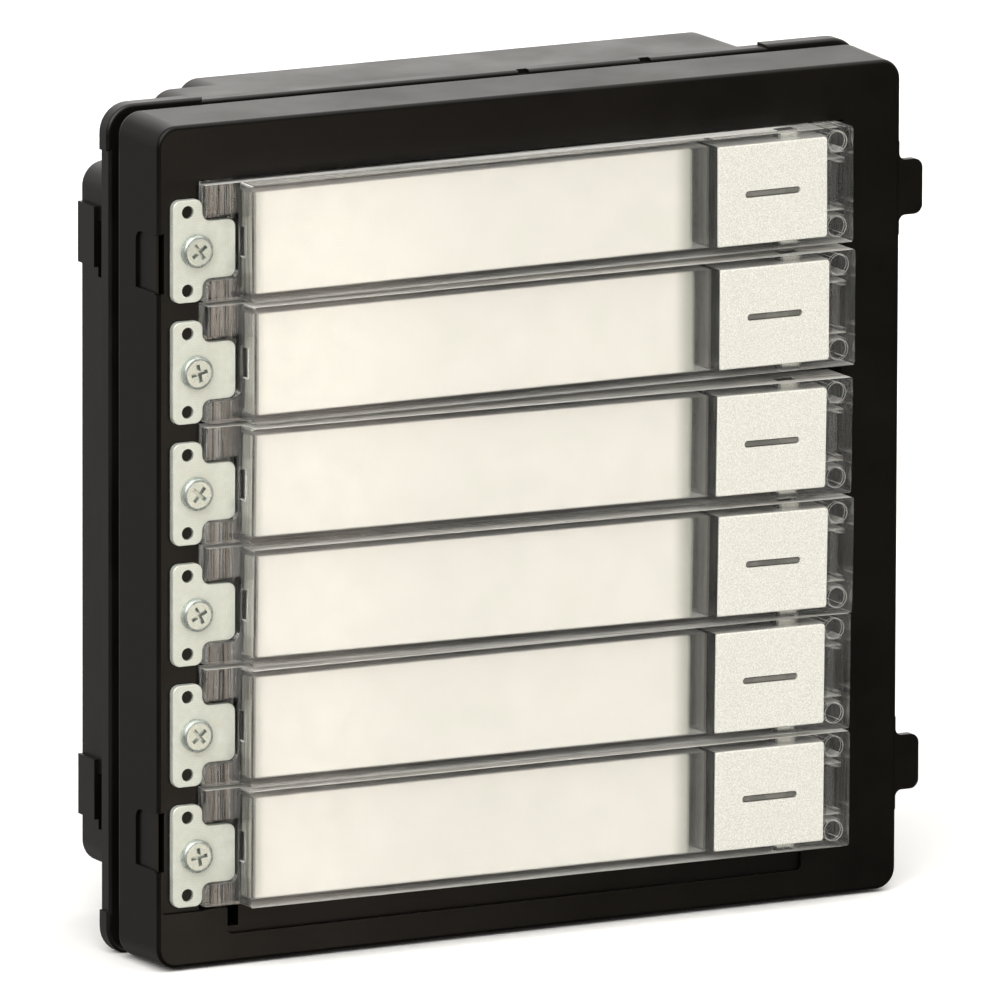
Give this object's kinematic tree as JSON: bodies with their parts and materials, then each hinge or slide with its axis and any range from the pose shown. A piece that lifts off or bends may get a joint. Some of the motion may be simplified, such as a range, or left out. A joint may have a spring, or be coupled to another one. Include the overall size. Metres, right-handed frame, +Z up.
{
  "type": "door intercom panel",
  "caption": "Flush door-station module with long hinged clear call keys, name cards and silver push caps.",
  "frame": {"origin": "centre of the seat plane, the rear face of the rim, which rests on the mounting frame", "axes": "+X to the right seen from the front, +Y to the rear into the wall, +Z up"},
  "size_m": [0.1, 0.0426, 0.0991],
  "materials": {
    "black_shell": "fine moulded texture, black-brown",
    "seal_rubber": "soft black silicone",
    "screw_steel": "zinc-plated steel, bright",
    "plate_steel": "zinc-plated sheet, satin",
    "clear_key": "clear polycarbonate, polished",
    "silver_cap": "fine metallic silver paint",
    "light_guide": "clear light guide, frosted tip",
    "card_paper": "cream card",
    "opal_insert": "milky diffusing plastic",
    "board_laminate": "green solder mask",
    "switch_plastic": "black moulding",
    "lamp_resin": "lamp resin",
    "socket_plastic": "natural nylon",
    "address_plastic": "blue moulding, white sliders"
  },
  "bodies": {
    "root": {"front_housing": "black_shell", "rear_housing": "black_shell", "seal_gasket": "seal_rubber", "plate_screws": "screw_steel", "key_board": "board_laminate", "switch_bodies": "switch_plastic", "backlight_lamps": "lamp_resin", "indicator_lamps": "lamp_resin", "board_screws": "screw_steel", "interface_board": "board_laminate", "board_link": "socket_plastic", "bus_socket_in": "socket_plastic", "bus_socket_out": "socket_plastic", "address_switch": "address_plastic", "address_plug": "seal_rubber", "interface_screws": "screw_steel", "housing_screws": "screw_steel", "hinge_plate_1": "plate_steel", "hinge_plate_2": "plate_steel", "hinge_plate_3": "plate_steel", "hinge_plate_4": "plate_steel", "hinge_plate_5": "plate_steel", "hinge_plate_6": "plate_steel"},
    "key_1": {"key_cover_1": "clear_key", "button_cap_1": "silver_cap", "light_guide_1": "light_guide", "name_card_1": "card_paper", "card_insert_1": "opal_insert", "switch_stem_1": "switch_plastic"},
    "key_2": {"key_cover_2": "clear_key", "button_cap_2": "silver_cap", "light_guide_2": "light_guide", "name_card_2": "card_paper", "card_insert_2": "opal_insert", "switch_stem_2": "switch_plastic"},
    "key_3": {"key_cover_3": "clear_key", "button_cap_3": "silver_cap", "light_guide_3": "light_guide", "name_card_3": "card_paper", "card_insert_3": "opal_insert", "switch_stem_3": "switch_plastic"},
    "key_4": {"key_cover_4": "clear_key", "button_cap_4": "silver_cap", "light_guide_4": "light_guide", "name_card_4": "card_paper", "card_insert_4": "opal_insert", "switch_stem_4": "switch_plastic"},
    "key_5": {"key_cover_5": "clear_key", "button_cap_5": "silver_cap", "light_guide_5": "light_guide", "name_card_5": "card_paper", "card_insert_5": "opal_insert", "switch_stem_5": "switch_plastic"},
    "key_6": {"key_cover_6": "clear_key", "button_cap_6": "silver_cap", "light_guide_6": "light_guide", "name_card_6": "card_paper", "card_insert_6": "opal_insert", "switch_stem_6": "switch_plastic"}
  },
  "joints": [
    {"name": "key_1_press", "type": "hinge", "parent": "root", "child": "key_1", "pos_m": [-0.04015, -0.0114, 0.03521], "axis": [0, 0, 1], "range_deg": [0, 0.657], "stiffness_Nm_per_rad": 10},
    {"name": "key_2_press", "type": "hinge", "parent": "root", "child": "key_2", "pos_m": [-0.04015, -0.0114, 0.02113], "axis": [0, 0, 1], "range_deg": [0, 0.657], "stiffness_Nm_per_rad": 10},
    {"name": "key_3_press", "type": "hinge", "parent": "root", "child": "key_3", "pos_m": [-0.04015, -0.0114, 0.00704], "axis": [0, 0, 1], "range_deg": [0, 0.657], "stiffness_Nm_per_rad": 10},
    {"name": "key_4_press", "type": "hinge", "parent": "root", "child": "key_4", "pos_m": [-0.04015, -0.0114, -0.00704], "axis": [0, 0, 1], "range_deg": [0, 0.657], "stiffness_Nm_per_rad": 10},
    {"name": "key_5_press", "type": "hinge", "parent": "root", "child": "key_5", "pos_m": [-0.04015, -0.0114, -0.02113], "axis": [0, 0, 1], "range_deg": [0, 0.657], "stiffness_Nm_per_rad": 10},
    {"name": "key_6_press", "type": "hinge", "parent": "root", "child": "key_6", "pos_m": [-0.04015, -0.0114, -0.03521], "axis": [0, 0, 1], "range_deg": [0, 0.657], "stiffness_Nm_per_rad": 10}
  ]
}
